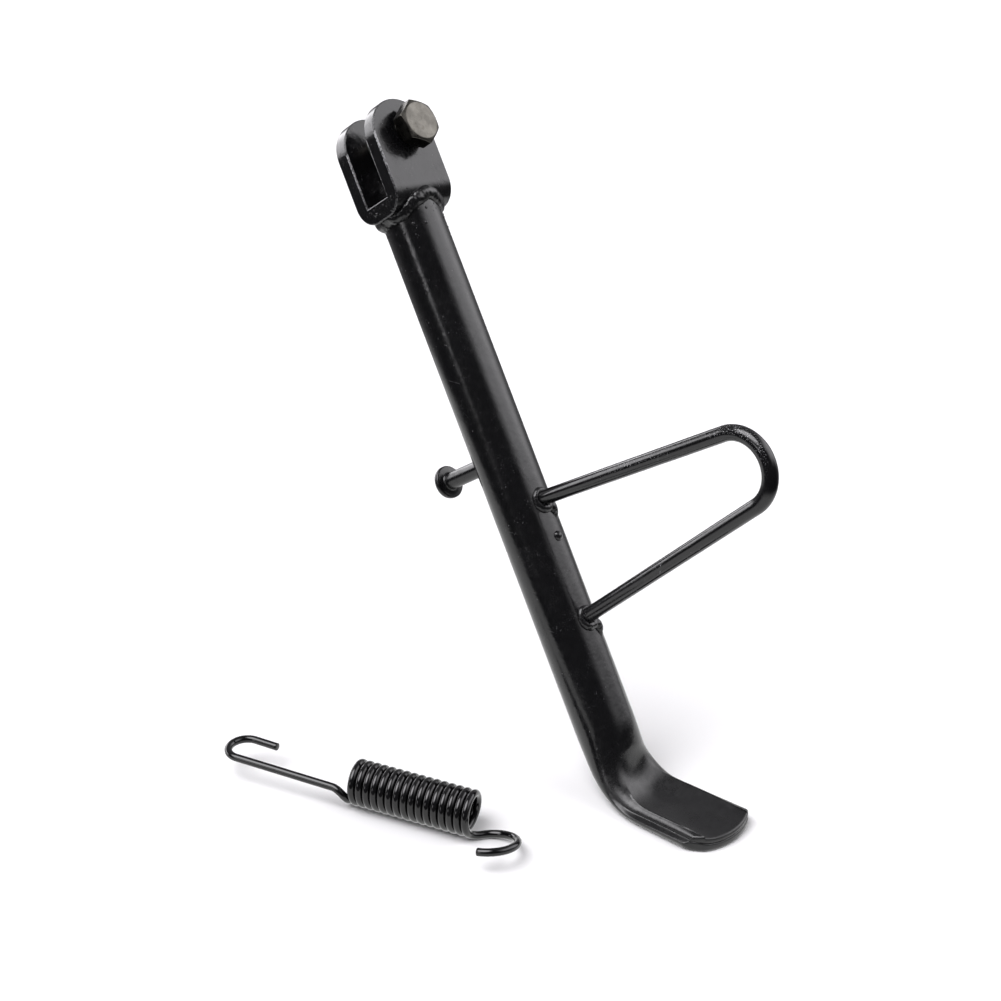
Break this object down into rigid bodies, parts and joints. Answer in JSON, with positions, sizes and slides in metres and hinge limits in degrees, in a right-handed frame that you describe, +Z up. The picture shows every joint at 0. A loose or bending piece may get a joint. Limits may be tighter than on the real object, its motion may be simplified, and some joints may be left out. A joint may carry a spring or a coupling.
{
  "type": "motorcycle side stand",
  "caption": "Leaning tubular side stand with flattened foot, forked pivot bracket, hex pivot bolt, bent-rod kick loop, spring post and a separate hooked return spring.",
  "frame": {"origin": "centre of the pivot bolt, midway between the two ears of the clevis", "axes": "+Z up with the sole of the foot horizontal, +X outward from the motorcycle (the way the leg leans), -Y forward; the bolt axis lies in the XZ plane, 34 degrees above +X"},
  "size_m": [0.2254, 0.1403, 0.2536],
  "materials": {
    "black_paint": "semi-gloss black paint on steel, slightly scuffed",
    "bare_steel": "dull zinc-plated steel",
    "spring_black": "gloss black coating on spring wire"
  },
  "bodies": {
    "pivot": {"pivot_bolt": "bare_steel", "lock_nut": "bare_steel"},
    "leg": {"leg_tube": "black_paint", "clevis_bracket": "black_paint", "clevis_weld": "black_paint", "kick_loop": "black_paint", "loop_weld_upper": "black_paint", "loop_weld_lower": "black_paint", "tack_bead": "black_paint", "spring_post": "black_paint", "post_weld": "black_paint"},
    "spring": {"spring_coil": "spring_black", "spring_long_hook": "spring_black"},
    "spring_end": {"spring_short_hook": "spring_black"}
  },
  "joints": [
    {"name": "leg_fold", "type": "hinge", "parent": "pivot", "child": "leg", "pos_m": [0, 0, 0], "axis": [0.829, 0, 0.5592], "range_deg": [0, 95]},
    {"name": "spring_lift", "type": "slide", "parent": "pivot", "child": "spring", "axis": [0, 0, 1], "range_m": [0, 0.12]},
    {"name": "spring_stretch", "type": "slide", "parent": "spring", "child": "spring_end", "axis": [0.9613, 0.2756, 0], "range_m": [0, 0.025], "stiffness_N_per_m": 17400, "deforming": ["spring_coil"]}
  ]
}
